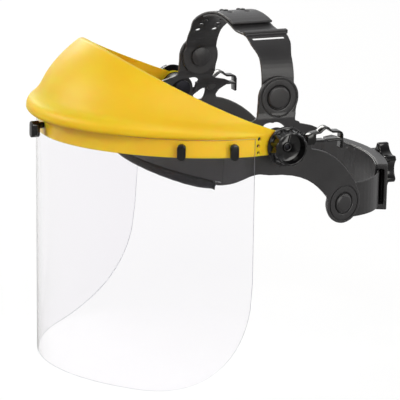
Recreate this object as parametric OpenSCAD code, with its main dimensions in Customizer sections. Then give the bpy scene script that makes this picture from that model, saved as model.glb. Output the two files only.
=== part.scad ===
// Browguard face shield with ratchet headgear. All sizes in millimetres.
// +X is the wearer's left, -Y is the front, +Z is up.
// The origin is the middle of the line through the two tilt pivots.

/* [Visor] */
// how far the visor's outer face stands out from the headband beside the pivots
visor_side = 17.5; // [16:0.5:24]
// depth of the visor from its rear edges to the nose
visor_depth = 130; // [115:1:145]
// how much the sides are drawn in behind the nose
visor_nose = 0.11; // [0:0.01:0.2]
// rear edges of the visor, this far in front of the pivots
visor_setback = 26; // [26:0.5:32]
// sheet thickness
visor_t = 1; // [0.8:0.1:1.3]
// how far the sheet hangs below the band
visor_drop = 184.5; // [150:0.5:220]
// widening of each side per millimetre of drop
visor_flare = 0.072; // [0:0.002:0.1]
// height of the rounded lower corners
corner_h = 87; // [40:1:110]
// part of the plan curve that each corner takes, in degrees
corner_deg = 45; // [30:1:60]

/* [Browguard] */
// wall of the shell
guard_wall = 2.6; // [2:0.1:3.2]
// lower edge of the band that carries the visor
band_bottom = -6.5; // [-9:0.5:-6]
// crease under the brim
band_top = 9; // [8:0.5:12]
// how far the brim swells out at the nose
brim = 9.7; // [4:0.1:12]
// height of the open top edge beside the pivots
top_rear = 12.7; // [12:0.1:16]
// rise of the open top edge towards the peak
top_slope = 0.373; // [0.2:0.005:0.45]
// how far each leg toes in to its pivot
leg_toe = 1.2; // [0.6:0.1:2]
// radius of the pivot plates
plate_r = 11; // [10.8:0.1:13]
// thickness of the pivot plates
plate_t = 3.2; // [2.8:0.1:4]
// radius of the arc of stop holes
stop_r = 22.8; // [22:0.1:24]
// diameter of the largest stop hole
stop_d = 3.4; // [2.8:0.1:3.6]

/* [Turn buttons] */
// plan angles of the buttons on the left side
button_front = 62.3; // [45:0.1:68]
// the rear pair, beside the pivots
button_rear = 81.4; // [78:0.2:84]
// height of the button shafts
button_z = 1.6; // [0:0.1:3]
// shaft diameter
button_shaft_d = 5; // [4:0.1:5.5]
// width of the oval head
button_w = 6.6; // [6:0.1:8]
// length of the oval head
button_l = 13; // [11:0.1:15]
// how thick the heads on both sides are
button_side_h = 4; // [3:0.1:8]
// how thick the middle head is
button_h = 6.9; // [5:0.1:8]
// how far the head of the middle button stands off the visor
button_off = 3; // [0.3:0.1:7]

/* [Pivot] */
// shoulder diameter of the pivot bolts
shoulder_d = 8; // [7:0.1:9]
// thread diameter of the pivot bolts
thread_d = 4; // [3:0.1:4]
// radius of the knob base ring
knob_r = 15.5; // [14:0.1:17]
// height of the knob
knob_h = 11.6; // [10:0.1:15]
// flutes round the knob
knob_flutes = 12; // [8:1:16]
// thickness of the friction washer
washer_t = 2.6; // [1.5:0.1:4]
// radius of the frame boss and of the washer
boss_r = 10.5; // [9:0.1:10.8]

/* [Headband] */
// half width of the headband
head_half_w = 99; // [90:0.5:110]
// depth of the headband in front of the pivots
head_front = 87; // [80:1:95]
// depth of the headband behind the pivots
head_rear = 136; // [132:1:140]
// thickness of the side frames
frame_t = 3; // [2.4:0.1:3.4]
// thickness of the brow band
brow_t = 2.5; // [2:0.1:3]
// where brow band and side frames meet, in front of the pivots
joint_y = 40; // [38:1:44]
// height of the brow band at its middle
brow_h = 23; // [18:0.5:26]
// thickness of the brow pad
pad_t = 10; // [6:0.5:12]

/* [Crown] */
// centre of the crown discs, behind the pivots
disc_y = 8.4; // [6:0.2:10]
// height of the crown discs
disc_z = 30; // [29.5:0.1:34]
// how far the post discs lean in from the width of the headband
post_lean = 17.4; // [15:0.2:18]
// radius of the crown discs
disc_r = 16.8; // [15.5:0.1:17.5]
// thickness of the crown straps
crown_t = 1.8; // [1.2:0.1:2]
// height of the crown over its discs
crown_rise = 46; // [42:0.5:56]
// width of the crown straps over the top
crown_w = 34; // [30:0.5:36]
// spacing of the adjustment holes along the strap
hole_pitch = 8.5; // [8:0.1:10]
// spacing of the adjustment holes across the strap
hole_across = 14.5; // [12:0.5:16]

/* [Nape] */
// centre of the nape discs, behind the pivots
nape_y = 63.6; // [60:0.2:65]
// height of the nape discs
nape_z = -56.9; // [-60:0.2:-54]
// radius of the nape discs
nape_r = 16.1; // [15:0.1:17]
// height of the nape straps
nape_h = 28; // [24:0.5:29]
// thickness of the nape straps
nape_t = 1.6; // [1.2:0.1:1.7]
// rearmost face of the nape straps
nape_back = 125; // [122:0.5:130]
// height of the ratchet housing
housing_h = 37.6; // [34:0.2:40]
// how far the hand wheel sits above the middle of the straps
wheel_up = 3.9; // [0:0.1:5]
// radius of the hand wheel
wheel_r = 19; // [17:0.5:21]
// height of the hand wheel
wheel_h = 9.4; // [8.5:0.1:12]

/* [Clearances] */
// gap between pieces that move past each other
gap = 0.3; // [0.3:0.05:0.4]
// radial clearance of a turning fit
run_c = 0.05; // [0.03:0.01:0.08]
// gap beside the nape discs, which are toed in
nape_gap = 1.2; // [1.1:0.1:1.4]

/* [Hidden] */
$fn = 48;

yellow = [0.94, 0.74, 0.13];
black = [0.16, 0.16, 0.17];
clear = [0.85, 0.85, 0.90, 0.3];
grey = [0.55, 0.57, 0.60];
foam = [0.34, 0.36, 0.40];

visor_half_w = head_half_w + visor_side;
disc_x = head_half_w - post_lean;
visor_lead = 0.023;
visor_rise = 0.026;
visor_gap = gap;
guard_off = visor_t + visor_gap;
leg = visor_setback;
through = 2 * visor_half_w + 30;
plate_out = visor_half_w - leg_toe - guard_off + 0.3;
plate_in = plate_out - plate_t;
washer_out = plate_in - gap;
boss_out = washer_out - washer_t;
boss_in = head_half_w - frame_t - 0.3;
knob_x = plate_out + gap;
toe_y0 = 44;
toe_y1 = 82;
rail_r = 125;
rear_c = nape_back - rail_r;
// half the arc that the ratchet housing takes, and how far its wheel seat stands out
housing_deg = 24.5;
seat_h = 4.4;
cover_off = -2 * nape_t - 3 * gap;
housing_off = 5;
seat_y = nape_back + housing_off + seat_h;
wheel_y = seat_y + gap + 0.1;
wheel_z = nape_z + wheel_up;
peg_y = 24.6;
peg_z = 0.8;
clip_x = head_half_w + 1;
peg_l = 12;
// the flat heads of the turn buttons clear the curve of the sheet by this much more
head_lift = 0.35;
clip_w = 8.6;
// how far the end discs of the straps stand out of the straps on each side
proud = 0.15;

function lerp(a, b, u) = a + (b - a) * u;
function unit(v) = v / norm(v);
function smooth(u) = let (c = max(0, min(1, u))) c * c * (3 - 2 * c);

// Plan curve of the visor's outer face at angle t, h below the band.
function plan(t, h = 0) = [
  (visor_half_w + visor_flare * h) * sin(t),
  -visor_setback - visor_lead * h
  - (visor_depth - (visor_lead + visor_rise) * h) * cos(t) * (1 - visor_nose * pow(sin(t), 2))];
function plan_n(t) = unit([
  visor_depth * sin(t) * (1 - visor_nose * pow(sin(t), 2) + 2 * visor_nose * pow(cos(t), 2)),
  -visor_half_w * cos(t)]);

// Point at offset o along the plan normal n from p, at height z.
function lift(p, n, o, z) = [p[0] + n[0] * o, p[1] + n[1] * o, z];

// Solid through a row of stations, each a list of outer points and a list of inner points.
module wall(stations) {
  r = len(stations[0][0]);
  n = 2 * r;
  m = len(stations);
  points = [for (s = stations) each concat(s[0], [for (k = [r - 1:-1:0]) s[1][k]])];
  sides = [for (i = [0:m - 2], j = [0:n - 1])
    each [[i * n + j, i * n + (j + 1) % n, (i + 1) * n + (j + 1) % n],
      [i * n + j, (i + 1) * n + (j + 1) % n, (i + 1) * n + j]]];
  first = [for (k = [0:r - 2]) each [[k, n - 2 - k, k + 1], [k, n - 1 - k, n - 2 - k]]];
  e = (m - 1) * n;
  last = [for (k = [0:r - 2]) each [[e + k, e + k + 1, e + n - 2 - k],
    [e + k, e + n - 2 - k, e + n - 1 - k]]];
  polyhedron(points, concat(sides, first, last));
}

// Turns a shape drawn along +Z to run along +X.
module along_x(x = 0, y = 0, z = 0) {
  translate([x, y, z]) rotate([0, 90, 0]) children();
}

// Flat outline in Y and Z, pushed out along X.
module prism_x(x, h) {
  translate([x, 0, 0]) rotate([90, 0, 90]) linear_extrude(h) children();
}

// Runs along the outward normal of the visor at angle t.
module at_button(t) {
  n = plan_n(t);
  translate([plan(t)[0], plan(t)[1], button_z]) rotate([0, 0, atan2(n[1], n[0])]) children();
}

BUTTONS = [0, button_front, button_rear, -button_front, -button_rear];

module button_bores() {
  for (t = BUTTONS)
    at_button(t) along_x(-20) cylinder(d = button_shaft_d + 2 * run_c, h = 25);
}

// Browguard: a column at s degrees, with the legs past 90.
function column(s) = abs(s) <= 90
  ? [plan(s), plan_n(s), 0.8 + (brim - 0.8) * pow(cos(s), 2)]
  : let (u = (abs(s) - 90) / 26, g = sign(s), v = smooth(2.6 * u))
    [[g * (visor_half_w - leg_toe * v), -visor_setback + u * leg], [g, 0], 0.8 * (1 - v)];
function dome(z) = z > 21.5 ? 0.3 * (z - 21.5) + 0.0115 * pow(z - 21.5, 2) : 0;
function dome_slope(z) = z > 21.5 ? 0.3 + 0.023 * (z - 21.5) : 0;
function edge_z(y) = let (h = -9 - y) max(band_top + 1.2, top_rear + top_slope * h + 0.000957 * h * h);
function top_z(y, ny, z = 40, n = 16) = n == 0 ? z
  : top_z(y, ny, 0.5 * (z + edge_z(y - ny * (guard_off + dome(z)))), n - 1);
function guard_rows(b, g) = [[0, band_bottom], [0, band_top], [0.8 * b, band_top - 0.06 * b],
  for (r = [[1, 0.035], [0.97, 0.09], [0.82, 0.14], [0.35, 0.21], [0.08, 0.28], [0, 0.36],
    [0, 0.48], [0, 0.62], [0, 0.81], [0, 1]]) [r[0] * b, band_top + r[1] * g]];
function guard_inner(b, g) = [[0, band_bottom], [0, band_top + 0.04 * g], [0.7 * b, band_top + 0.055 * g],
  for (r = [[0.88, 0.075], [0.92, 0.105], [0.80, 0.15], [0.35, 0.22], [0.08, 0.285], [0, 0.36],
    [0, 0.48], [0, 0.62], [0, 0.81], [0, 1]]) [r[0] * b, band_top + r[1] * g]];
GUARD_S = [-116, -112, -107, -102, -97, -93, for (t = [-90:3.75:90]) t, 93, 97, 102, 107, 112, 116];

module browguard() {
  stations = [for (s = GUARD_S)
    let (c = column(s), g = top_z(c[0][1], c[1][1]) - band_top)
    [[for (r = guard_rows(c[2], g)) lift(c[0], c[1], r[0] - guard_off - dome(r[1]), r[1])],
      [for (r = guard_inner(c[2], g))
        lift(c[0], c[1], r[0] - guard_off - dome(r[1])
          - guard_wall * sqrt(1 + pow(dome_slope(r[1]), 2)), r[1])]]];
  color(yellow) difference() {
    union() {
      wall(stations);
      along_x(plate_in) cylinder(r = plate_r, h = plate_t);
      along_x(-plate_out) cylinder(r = plate_r, h = plate_t);
    }
    along_x(-through / 2) cylinder(d = shoulder_d + 2 * run_c, h = through);
    for (k = [[17.5, 1], [4, 0.88], [-9.5, 0.79]])
      along_x(-through / 2, -stop_r * cos(k[0]), stop_r * sin(k[0])) cylinder(d = stop_d * k[1], h = through);
    button_bores();
  }
}

// Visor: columns at even steps over the front and along the arc of each lower corner.
corner_q = 2.3;
CORNER = [for (a = [90:-7.5:7.5]) [90 - corner_deg + corner_deg * pow(sin(a), 2 / corner_q),
  corner_h * (1 - pow(cos(a), 2 / corner_q))]];
FLAT = 90 - corner_deg;
VISOR_T = [for (c = CORNER) [-c[0], c[1]],
  for (i = [-11:11]) [FLAT * i / 11, 0],
  for (i = [len(CORNER) - 1:-1:0]) CORNER[i]];

module visor() {
  stations = [for (c = VISOR_T)
    let (low = band_bottom - visor_drop + c[1])
    [for (o = [0, -visor_t])
      [for (z = [low, lerp(low, band_bottom, 0.35), lerp(low, band_bottom, 0.7), band_bottom, band_top - 1.2])
        lift(plan(c[0], band_bottom - min(z, band_bottom)), plan_n(c[0]), o, z)]]];
  color(clear) difference() {
    wall(stations);
    button_bores();
  }
}

// Turn button: oval head outside, shaft through visor and band, snap flange inside.
module turn_button(t, off = gap + head_lift, thick = button_side_h) {
  back = guard_off + guard_wall + gap;
  color(black) at_button(t) {
    along_x(-back - 1.5) cylinder(d = button_shaft_d, h = back + 1.5 + off + 1);
    along_x(-back - 1.5) cylinder(d = button_shaft_d + 2.8, h = 1.5);
    prism_x(off, thick) {
      translate([0, -2.8]) square([button_w, button_l - button_w], center = true);
      for (k = [-1, 1])
        translate([0, -2.8 + k * (button_l - button_w) / 2]) circle(d = button_w);
    }
  }
}

// Pivot knob: a fluted cup on a base ring, with a low hub for the bolt and an index rib on its floor.
hub_h = 4.6;
module pivot_knob(g) {
  color(black) mirror([g < 0 ? 1 : 0, 0, 0]) along_x(knob_x) difference() {
    union() {
      difference() {
        union() {
          cylinder(r = knob_r, h = 2.2);
          cylinder(r1 = knob_r - 1, r2 = knob_r - 2.4, h = knob_h);
        }
        translate([0, 0, 3]) cylinder(r1 = knob_r - 4.2, r2 = knob_r - 3.9, h = knob_h);
        for (k = [0:knob_flutes - 1])
          rotate(k * 360 / knob_flutes) translate([knob_r + 0.2, 0, 2.2]) cylinder(r = 3.1, h = knob_h);
      }
      cylinder(r = 3.6, h = hub_h);
      rotate(165) translate([3, -0.5, 2]) cube([knob_r - 8, 1, hub_h - 2.4]);
    }
    translate([0, 0, -1]) cylinder(d = thread_d + 2 * run_c, h = knob_h + 2);
  }
}

// Pivot bolt: head inside the frame, shoulder for the browguard, thread for the knob.
module pivot_bolt(g) {
  color(black) mirror([g < 0 ? 1 : 0, 0, 0]) {
    along_x(boss_in - 3.8) cylinder(r = 7, h = 3.8);
    along_x(boss_in - 1) cylinder(d = shoulder_d, h = plate_out - boss_in + 1);
    along_x(plate_out - 1) cylinder(d = thread_d, h = hub_h + gap);
  }
}

module pivot_washer(g) {
  color(black) mirror([g < 0 ? 1 : 0, 0, 0]) along_x(boss_out) difference() {
    cylinder(r = boss_r, h = washer_t);
    translate([0, 0, -1]) cylinder(d = shoulder_d + 2 * run_c, h = washer_t + 2);
  }
}

// Headband plan: two half ellipses that meet at the pivots, and a straight toe behind toe_y0.
function head_b(y) = y < 0 ? head_front : head_rear;
function oval_x(y) = head_half_w * sqrt(1 - pow(y / head_b(y), 2));
function oval_n(y) = unit([oval_x(y) / pow(head_half_w, 2), y / pow(head_b(y), 2)]);
toe_n = oval_n(toe_y0);
toe_deg = atan2(toe_n[1], toe_n[0]);
function head_x(y) = y > toe_y0 ? oval_x(toe_y0) - (y - toe_y0) * tan(toe_deg) : oval_x(y);
function head_n(y) = y > toe_y0 ? toe_n : oval_n(y);
nape_x = head_x(nape_y);

// Brow band: height of its upper and lower edge at angle a.
function brow_top(a) = -1.5 + 0.0011 * a * a;
function brow_low(a) = -1.5 - brow_h - 0.0021 * a * a;
function brow_p(a) = [head_half_w * sin(a), -head_front * cos(a)];
function brow_n(a) = unit([sin(a) / head_half_w, -cos(a) / head_front]);

module brow_band() {
  end = acos(joint_y / head_front);
  color(black) intersection() {
    wall([for (i = [-15:15]) let (a = i * (end + 5) / 15)
      [for (o = [0, -brow_t])
        [for (z = [brow_low(a), brow_top(a)]) lift(brow_p(a), brow_n(a), o, z)]]]);
    translate([-150, -150, -100]) cube([300, 150 - joint_y, 200]);
  }
}

// Brow pad: a soft roll behind the brow band that comes out below it, thin and slanted at both ends.
module brow_pad() {
  end = acos(joint_y / head_front) - 1;
  back = brow_t + 0.2;
  rings = [for (i = [-20:20])
    let (a = i * end / 20, f = sqrt(max(0.02, 1 - pow(abs(i) / 20, 5))), tip = abs(i) == 20 ? sign(i) : 0,
      zt = brow_top(a) - 1, zb = brow_low(a) - 0.4, zl = zb - max(f, 0.55) * (7 + 0.0012 * a * a))
    [for (r = [[-back, zt - 2 * f], [-back - 0.25 * pad_t * f, zt], [-back - 0.7 * pad_t * f, zt - 2.5 * f],
      [-back - 0.97 * pad_t * f, zt - 8 * f], [-back - pad_t * f, lerp(zt, zl, 0.5)],
      [-back - 0.92 * pad_t * f, zl + 8 * f], [-back - 0.65 * pad_t * f, zl + 2.6 * f],
      [-back - 0.3 * pad_t * f, zl], [-0.6 * back, zl + 0.5 * f], [0, zl + 2.6 * f],
      [0.3, lerp(zl, zb, 0.6)], [-0.2, zb], [-back, zb]])
      let (b = a - tip * (2.4 * (zt - r[1]) / (zt - zl) - 0.42 * r[0])) lift(brow_p(b), brow_n(b), r[0], r[1])]];
  n = len(rings[0]);
  m = len(rings);
  sides = [for (i = [0:m - 2], j = [0:n - 1])
    each [[i * n + j, (i + 1) * n + (j + 1) % n, i * n + (j + 1) % n],
      [i * n + j, (i + 1) * n + j, (i + 1) * n + (j + 1) % n]]];
  e = (m - 1) * n;
  first = [for (j = [0:n - 3]) [n - 1, j, j + 1]];
  last = [for (j = [0:n - 3]) [e + n - 1, e + j + 1, e + j]];
  color(foam) polyhedron([for (r = rings) each r], concat(sides, first, last));
}

function bez(p, q, r, s, u) = p * pow(1 - u, 3) + q * 3 * u * pow(1 - u, 2)
  + r * 3 * u * u * (1 - u) + s * pow(u, 3);
function bez_d(p, q, r, s, u) = (q - p) * pow(1 - u, 2) + (r - q) * 2 * u * (1 - u) + (s - r) * u * u;
// Curve from p to s with the handles q and r, in n steps.
function curve(p, q, r, s, n = 8) = [for (i = [0:n]) bez(p, q, r, s, i / n)];

// Outline of a side frame in Y and Z: front plate, arch with its disc, rear arm with its disc.
module frame_outline() {
  difference() {
    union() {
      polygon([[-joint_y, brow_top(62)], [-34, 6], [-23, 9.5], [-16, 12.2],
        [-11.4, 13.8], [-9.3, 15.8], [-8.7, 20.6], [disc_y - disc_r, disc_z], [disc_y + disc_r, disc_z],
        [23.4, 21], [23, 16], [21.8, 11.8], [24.8, 10.8], [25, 9.6], [29, 8.8], [35, 7.4], [39.2, 5.5],
        [39.4, 3.2], [36, 0.5], [32.5, -3], [30.4, -6.8],
        each curve([31, -9.1], [46, -11.5], [60, -20], [74, -40.5]),
        [nape_y + 15.8, nape_z + 4.8], [nape_y, nape_z], [nape_y - 16, nape_z + 3.8],
        each curve([47.5, -50.3], [37, -38], [24, -26.5], [-5, -26.8]),
        each curve([-13, -25.8], [-22, -25.8], [-27, -33], [-joint_y, brow_low(62) - 2.2]),
        [-joint_y - 3.9, brow_low(60) - 3], [-joint_y - 3.4, brow_low(60) - 0.3],
        [-joint_y, brow_low(62.6) - 0.3]]);
      translate([disc_y, disc_z]) circle(r = disc_r);
      translate([nape_y, nape_z]) circle(r = nape_r);
    }
    difference() {
      union() {
        polygon([[1.6, 6], each curve([1.6, 10.2], [3.2, 12], [7.4, 11.8], [9.6, 9.8]), [11.4, 8.4], [11.2, 6]]);
        polygon([[10.8, -7.2], [19.4, 0.2], each curve([21, -1.4], [22.4, -6], [20.4, -10.8], [17, -10.8], 5),
          [13, -10.4]]);
      }
      circle(r = boss_r - 0.5);
    }
  }
}

FRAME_Y = [-54, for (y = [-48:6:36]) y, toe_y0, toe_y1];
FRAME_Z = [-80, -6, -2, 2, 6, 10, 14, 18, 60];

module side_frame(g) {
  color(black) mirror([g < 0 ? 1 : 0, 0, 0]) difference() {
    union() {
      intersection() {
        wall([for (y = FRAME_Y)
          [for (o = [0, -frame_t])
            [for (z = FRAME_Z)
              let (u = smooth((z + 6) / 24), n = unit([lerp(head_n(y)[0], 1, u), lerp(head_n(y)[1], 0, u)]))
              lift([lerp(head_x(y), disc_x, u), y], n, o, z)]]]);
        prism_x(head_half_w - 50, 80) frame_outline();
      }
      along_x(boss_in) cylinder(r = boss_r, h = boss_out - boss_in);
      along_x(clip_x - peg_l, peg_y, peg_z) cylinder(r = 3.2, h = peg_l);
      along_x(clip_x - peg_l, peg_y, peg_z) cylinder(r = 2.2, h = peg_l + 5);
    }
    along_x(boss_in - 16) cylinder(d = shoulder_d + 2 * run_c, h = boss_out - boss_in + 20);
    along_x(boss_in - 16) cylinder(r = boss_r + 0.8, h = 16);
    along_x(disc_x - 14, disc_y, disc_z) cylinder(r = crown_shaft_r + run_c, h = 40);
    along_x(disc_x, disc_y, disc_z) disc_cuts(sink_r, groove_r);
    at_nape() cylinder(r = nape_shaft_r + run_c, h = 40, center = true);
    at_nape() disc_cuts(nape_seat_r, nape_r - 2.6);
    translate([frame_in_x(peg_y + 3.2, peg_z + 3.2) - 30, peg_y - 3.6, peg_z - 3.6]) cube([30, 7.2, 7.2]);
  }
}
function frame_in_x(y, z) = lerp(head_x(y), disc_x, smooth((z + 6) / 24)) - frame_t + 0.8;

// Strap clip: a loop with a split lower strand, on a peg of the side frame.
module strap_clip(g) {
  color(black) mirror([g < 0 ? 1 : 0, 0, 0]) difference() {
    prism_x(clip_x, clip_w) difference() {
      polygon([[21.4, -2.6], [21.4, 4.2], [25.4, 6.2], [31.6, 7.2], [34.4, 9.6], [36.8, 10.9], [39.6, 10.5],
        [41.6, 8.4], [43.4, 7.2], [49.4, 6.9], [51.2, 5.8], [52, 3.6], [52, -6.4], [50.5, -7], [50.3, -0.8],
        [28.2, -0.8], [27.4, -2.6]]);
      polygon([[28.8, 0.6], [28.8, 5.4], [32.6, 5.9], [35.6, 8.3], [37.4, 9.3], [39, 9], [40.6, 7.2],
        [42.8, 5.8], [49.2, 5.4], [50, 4.8], [50.4, 3], [50.4, 0.6]]);
      translate([37.2, -2]) square([1.2, 5]);
    }
    along_x(clip_x - 1, peg_y, peg_z) cylinder(r = 2.2 + run_c, h = 6.3);
  }
}

// Crown: each half is an arch of its own from its disc; the left half dips under the right near the top.
crown_a = disc_x - frame_t - gap - proud;
crown_c = 36;
crown_shaft_r = 6.5;
crown_mid = disc_y + 0.6;
q_left = 2.6;
q_right = 1.75;
q_tail = 1.95;
under = crown_t + gap;
// where the tail of the right half ends, on the left of the middle
tail_x = 25.4;
function arch_x(a, q) = sign(a) * crown_a * pow(abs(sin(a)), 2 / q);
function arch_z(x, q) = crown_c + crown_rise * pow(max(0, 1 - pow(abs(x) / crown_a, q)), 1 / q);
function right_p(a) = a > 90 ? [crown_a, crown_c - (a - 90)]
  : let (x = arch_x(a, q_right)) [x, arch_z(x, a < 0 ? q_tail : q_right)];
function left_p(a) = a > 90 ? [crown_a, crown_c - (a - 90)]
  : let (x = arch_x(a, q_left))
    [x, lerp(arch_z(x, q_right) - under, arch_z(x, q_left), smooth((x - tail_x) / 30))];
function side_p(g, a) = g > 0 ? left_p(a) : right_p(a);
function side_n(g, a) = let (d = side_p(g, a - 0.3) - side_p(g, a + 0.3)) unit([d[1], -d[0]]);
function side_at(g, a, o, y) = let (p = side_p(g, a), n = side_n(g, a)) [p[0] + n[0] * o, y, p[1] + n[1] * o];
function crown_half(a) = lerp(crown_w / 2, 13.6, smooth((a - 45) / 20));

// Half strap through the angles, from the disc over the top.
module crown_half_strap(g, angles) {
  wall([for (a = angles)
    [for (o = [0, -crown_t]) [for (k = [1, -1]) side_at(g, a, o, crown_mid + k * crown_half(a))]]]);
  along_x(crown_a - crown_t - proud, disc_y, disc_z) cylinder(r = 15, h = crown_t + 2 * proud);
}

// Runs along the strap's normal at angle a.
module on_crown(g, a, y) {
  p = side_at(g, a, 0, y);
  n = side_n(g, a);
  translate(p) rotate([0, 90 - atan2(n[1], n[0]), 0]) children();
}

CROWN_SIDE = [crown_c - disc_z + 90, 90.3, 87, for (a = [83:-4:11]) a, 7, 4];

module crown_strap_left() {
  color(black) difference() {
    union() {
      crown_half_strap(1, concat(CROWN_SIDE, [1.5, -1.5, -4, -7, -11, -16, -20]));
      on_crown(1, 35, crown_mid) translate([-2, -18.4, -1]) cube([4, 36.8, 3.4]);
      for (x = [-19, -19 + hole_pitch], k = [-1, 1])
        translate([x, crown_mid + k * hole_across / 2, arch_z(x, q_right) - under - 1])
          cylinder(r = 1.9, h = under + 2);
    }
    along_x(crown_a - 20, disc_y, disc_z) cylinder(r = crown_shaft_r + run_c, h = 40);
    on_crown(1, 42, crown_mid) cube([3.2, 27, 12], center = true);
  }
}

module crown_strap_right() {
  color(black) mirror([1, 0, 0]) difference() {
    crown_half_strap(-1, concat(CROWN_SIDE, [1.5, -1.5, -4, -7, -11, -16, -22.5]));
    along_x(crown_a - 20, disc_y, disc_z) cylinder(r = crown_shaft_r + run_c, h = 40);
    for (x = [for (i = [-1:2]) 19 - i * hole_pitch], k = [-1, 1])
      translate([x, crown_mid + k * hole_across / 2, 50]) cylinder(r = 2.1, h = 50);
    for (a = [37.5, 45, 53, 62], k = [-1, 1])
      on_crown(-1, a, crown_mid + k * hole_across / 2) cylinder(r = 2.1, h = 12, center = true);
  }
}

// Crown rivet: a round head sunk in the post disc, a snap flange inside the strap.
head_r = 8.9;
sink_r = 10;
sink = 1.4;
groove_r = 14.3;
groove_w = 0.8;
module crown_rivet(g) {
  inner = crown_a - crown_t - proud - 2 * gap;
  color(black) mirror([g < 0 ? 1 : 0, 0, 0]) {
    along_x(disc_x - sink, disc_y, disc_z) cylinder(r = head_r, h = sink);
    along_x(disc_x, disc_y, disc_z) cylinder(r1 = head_r, r2 = head_r - 1.2, h = 0.7);
    along_x(inner - 1.7, disc_y, disc_z) cylinder(r = crown_shaft_r, h = disc_x - inner + 1);
    along_x(inner - 1.7, disc_y, disc_z) cylinder(r = 7.9, h = 1.7);
  }
}

// Ring groove and sunk seat for a rivet head, cut from z = 0 down.
module disc_cuts(seat, ring) {
  translate([0, 0, -sink]) cylinder(r = seat, h = 10);
  translate([0, 0, -0.7]) difference() {
    cylinder(r = ring + groove_w, h = 10);
    translate([0, 0, -1]) cylinder(r = ring, h = 12);
  }
}

// Runs along the normal of the left nape disc, from its outer face.
module at_nape() {
  translate([nape_x, nape_y, nape_z]) rotate([0, 0, toe_deg]) rotate([0, 90, 0]) children();
}
nape_shaft_r = 4;
nape_seat_r = 8.8;
strap_off = -frame_t - nape_gap - proud;

// Nape plan: straight behind the disc, then a bend, then an arc over the nape.
nape_p0 = [nape_x, nape_y] + toe_n * strap_off;
nape_run = [-toe_n[1], toe_n[0]];
nape_p1 = nape_p0 + nape_run * 16;
rail_deg = housing_deg + 2;
nape_p2 = rail_at(rail_deg)[0];
nape_turn = [-cos(rail_deg), sin(rail_deg)];
bend = norm(nape_p2 - nape_p1) * 0.36;
BEND = [for (i = [1:9])
  let (q = nape_p1 + nape_run * bend, r = nape_p2 - nape_turn * bend,
    d = unit(bez_d(nape_p1, q, r, nape_p2, i / 10)))
  [bez(nape_p1, q, r, nape_p2, i / 10), [d[1], -d[0]]]];
function rail_at(a) = [[rail_r * sin(a), rear_c + rail_r * cos(a)], [sin(a), cos(a)]];
function rail(start, end) = [for (i = [0:12]) rail_at(lerp(start, end, i / 12))];

// Ribbon along the nape plan between offsets a and b, h high.
module nape_ribbon(path, a, b, h) {
  wall([for (s = path)
    [for (o = [b, a]) [for (z = [nape_z - h / 2, nape_z + h / 2]) lift(s[0], s[1], o, z)]]]);
}

// Nape strap with its disc, set in by the given amount at the rear, with a toothed slot for the pinion.
module nape_strap(set, up) {
  path = concat([[nape_p0, toe_n], [nape_p1, toe_n]], BEND, rail(rail_deg, -8));
  color(black) difference() {
    union() {
      wall([for (i = [0:len(path) - 1])
        let (s = path[i], k = -set * smooth((i - 2) / 9))
        [for (o = [k, k - nape_t]) [for (z = [-0.5, 0.5]) lift(s[0], s[1], o, nape_z + z * nape_h)]]]);
      at_nape() translate([0, 0, strap_off - nape_t - proud])
        cylinder(r = nape_h / 2, h = nape_t + 2 * proud);
    }
    at_nape() cylinder(r = nape_shaft_r + 0.35, h = 40, center = true);
    on_wheel(nape_back - 12) linear_extrude(20) difference() {
      square([26, 13], center = true);
      for (i = [-4:4])
        translate([i * 3, -up * 6.5])
          polygon([[-1, -up * 0.4], [1, -up * 0.4], [0.5, up * 0.9], [-0.5, up * 0.9]]);
    }
  }
}
module nape_strap_left() {
  nape_strap(nape_t + gap, 1);
}
module nape_strap_right() {
  mirror([1, 0, 0]) nape_strap(0, -1);
}

module nape_rivet(g) {
  inner = strap_off - nape_t - proud - 0.8;
  color(black) mirror([g < 0 ? 1 : 0, 0, 0]) at_nape() {
    translate([0, 0, -sink]) cylinder(r = nape_seat_r - 1.3, h = sink + 0.4);
    cylinder(r1 = nape_seat_r - 1.3, r2 = nape_seat_r - 3, h = 1.2);
    translate([0, 0, inner - 1.7]) cylinder(r = nape_shaft_r, h = 1.9 - inner);
    translate([0, 0, inner - 1.7]) cylinder(r = 6.6, h = 1.7);
  }
}

// Turns a shape drawn along +Z to run along +Y from the ratchet axis.
module on_wheel(y) {
  translate([0, y, wheel_z]) rotate([-90, 0, 0]) children();
}

// Plan of the ratchet housing, of its channel, which runs on past both ends, and of the wider mouths there.
HOUSING = rail(housing_deg, -housing_deg);
CHANNEL = rail(housing_deg + 3, -housing_deg - 3);
MOUTHS = [rail(housing_deg + 3, housing_deg - 5), rail(5 - housing_deg, -housing_deg - 3)];

module ratchet_housing() {
  color(black) difference() {
    union() {
      nape_ribbon(HOUSING, cover_off, housing_off, housing_h);
      on_wheel(nape_back + 2) cylinder(r = 13, h = seat_y - nape_back - 2);
    }
    nape_ribbon(CHANNEL, cover_off - 2, 0.5, nape_h + 1);
    for (m = MOUTHS) nape_ribbon(m, cover_off - 2, 2.1, nape_h + 1);
    on_wheel(nape_back - 20) cylinder(r = pinion_r + run_c, h = 60);
  }
}
pinion_r = 4;

module ratchet_cover() {
  color(black) nape_ribbon(HOUSING, cover_off - 1.6, cover_off, housing_h);
}

// Click spring: a ring on the housing with two raised fingers that run in the wheel's recess.
module ratchet_spring() {
  color(grey) on_wheel(seat_y) difference() {
    union() {
      cylinder(r = 10.6, h = 0.6);
      for (k = [0, 180])
        rotate(k) translate([7, -1.5, 0.2]) cube([2.6, 3, 1.3]);
    }
    translate([0, 0, -1]) cylinder(r = 4.8, h = 5);
  }
}

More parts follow.
